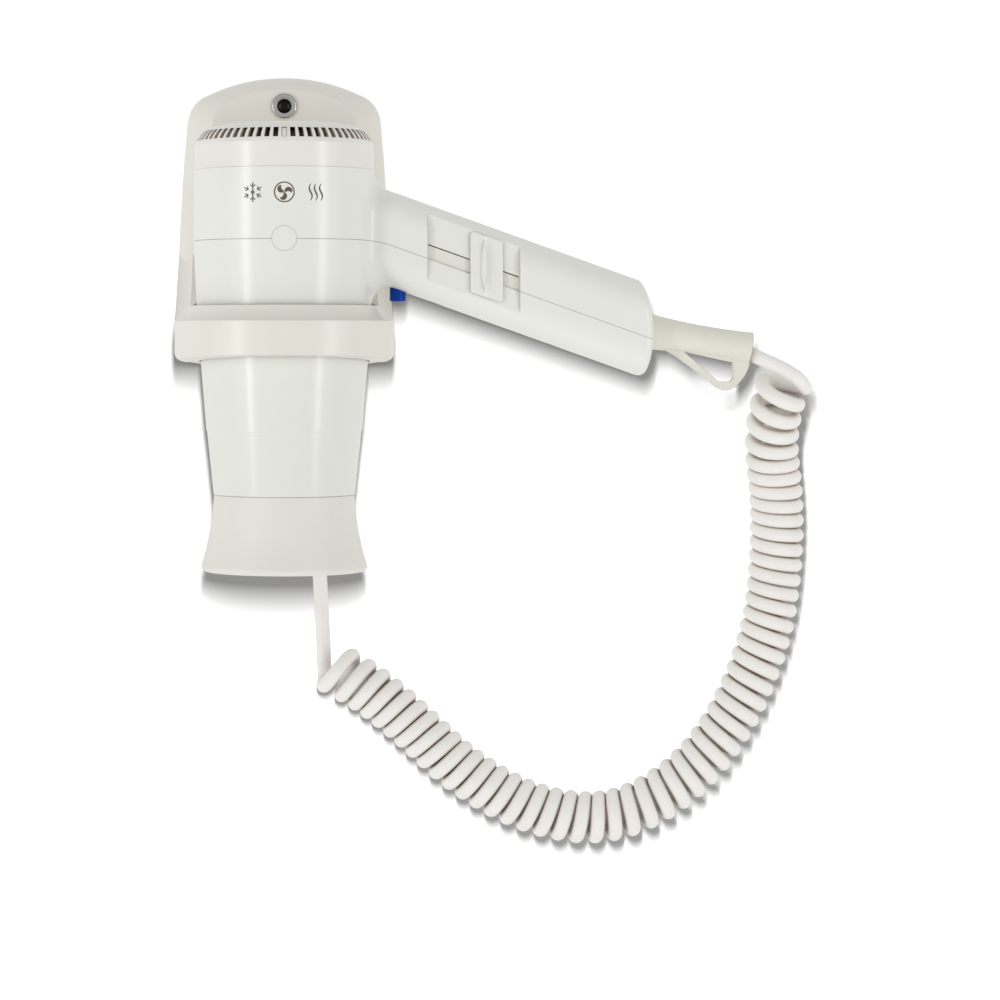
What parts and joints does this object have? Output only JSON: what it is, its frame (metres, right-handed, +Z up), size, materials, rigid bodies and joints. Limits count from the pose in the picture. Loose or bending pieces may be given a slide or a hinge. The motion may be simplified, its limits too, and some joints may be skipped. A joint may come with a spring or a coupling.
{
  "type": "wall-mounted hair dryer",
  "caption": "Hair dryer hanging nozzle-down in a wall holder, with a sloping handle, a slide switch and a cool button, a hanging loop and a coiled cord back to the holder.",
  "frame": {"origin": "on the wall, at the middle of the holder's back face, above the ring by 50 mm", "axes": "+X to the right seen from the front, +Y into the wall, +Z up"},
  "size_m": [0.2798, 0.1083, 0.3463],
  "materials": {
    "housing_white": "satin moulded plastic",
    "cap_white": "satin moulded plastic",
    "holder_white": "satin moulded plastic, slightly warm",
    "barrel_white": "satin heat-resisting plastic",
    "nozzle_white": "matt heat-resisting plastic",
    "strip_cream": "matt plastic",
    "blue_button": "satin plastic",
    "soft_cream": "soft moulded PVC",
    "cord_white": "soft PVC sheath",
    "wire_red": "insulated wires",
    "bright_chrome": "polished plating",
    "dark_screw": "dark burnished steel",
    "zinc_steel": "zinc-plated steel",
    "motor_steel": "plated steel",
    "magnet_dark": "sintered ferrite",
    "core_steel": "stacked laminations",
    "copper": "enamelled copper",
    "brass": "plain brass",
    "bronze": "sintered bronze",
    "fan_black": "moulded plastic",
    "duct_grey": "moulded plastic",
    "black_part": "moulded plastic",
    "filter_grey": "open-cell foam",
    "grille_dark": "moulded plastic",
    "mica": "mica sheet",
    "heater_wire": "resistance wire",
    "board_green": "circuit board",
    "capacitor_yellow": "moulded case",
    "terminal_cream": "moulded plastic"
  },
  "bodies": {
    "holder": {"holder_cover": "holder_white", "wall_plate": "holder_white", "holder_clamp": "black_part", "holder_clamp_screws": "zinc_steel", "lock_bushing": "bright_chrome", "lock_screw": "dark_screw", "terminal_block": "terminal_cream", "terminal_screws": "brass", "holder_gland": "soft_cream", "cord_tail_holder": "cord_white", "holder_wires": "wire_red", "cord_lead_wall": "cord_white", "cord_coil": "cord_white"},
    "dryer": {"upper_shell": "housing_white", "lower_shell": "housing_white", "seam_plug": "housing_white", "housing_screws": "zinc_steel", "intake_cap": "cap_white", "filter_latch": "cap_white", "intake_filter": "filter_grey", "filter_grille": "grille_dark", "motor_can": "motor_steel", "motor_end_cap": "black_part", "motor_bushes": "bronze", "motor_magnets": "magnet_dark", "motor_brushes": "magnet_dark", "fan_duct": "duct_grey", "rectifier_board": "board_green", "rectifier_diodes": "black_part", "barrel": "barrel_white", "nozzle": "nozzle_white", "outlet_grille": "grille_dark", "heat_tube": "mica", "heater_former": "mica", "heater_coils": "heater_wire", "thermostat": "black_part", "thermal_fuse": "zinc_steel", "switch_block": "black_part", "cool_switch": "black_part", "button_spring": "zinc_steel", "interference_capacitor": "capacitor_yellow", "cord_clamp": "black_part", "clamp_screws": "zinc_steel", "handle_wires": "wire_red", "strain_relief": "soft_cream", "cord_tail_handle": "cord_white", "cord_lead_handle": "cord_white"},
    "rotor": {"motor_shaft": "zinc_steel", "fan_impeller": "fan_black", "motor_armature": "core_steel", "motor_windings": "copper", "commutator": "copper"},
    "switch": {"switch_slider": "housing_white", "slider_strip": "strip_cream"},
    "button": {"cool_button": "blue_button"}
  },
  "joints": [
    {"name": "dryer_lift", "type": "slide", "parent": "holder", "child": "dryer", "axis": [0, 0, 1], "range_m": [0, 0.125]},
    {"name": "rotor_spin", "type": "hinge", "parent": "dryer", "child": "rotor", "pos_m": [0, -0.06, 0], "axis": [0, 0, 1], "continuous": true},
    {"name": "switch_slide", "type": "slide", "parent": "dryer", "child": "switch", "axis": [-0.9414, 0, 0.3374], "range_m": [0, 0.011]},
    {"name": "cool_button_press", "type": "slide", "parent": "dryer", "child": "button", "axis": [0, 0, 1], "range_m": [0, 0.0025], "stiffness_N_per_m": 250, "springref_m": -0.004, "deforming": ["button_spring"]}
  ]
}
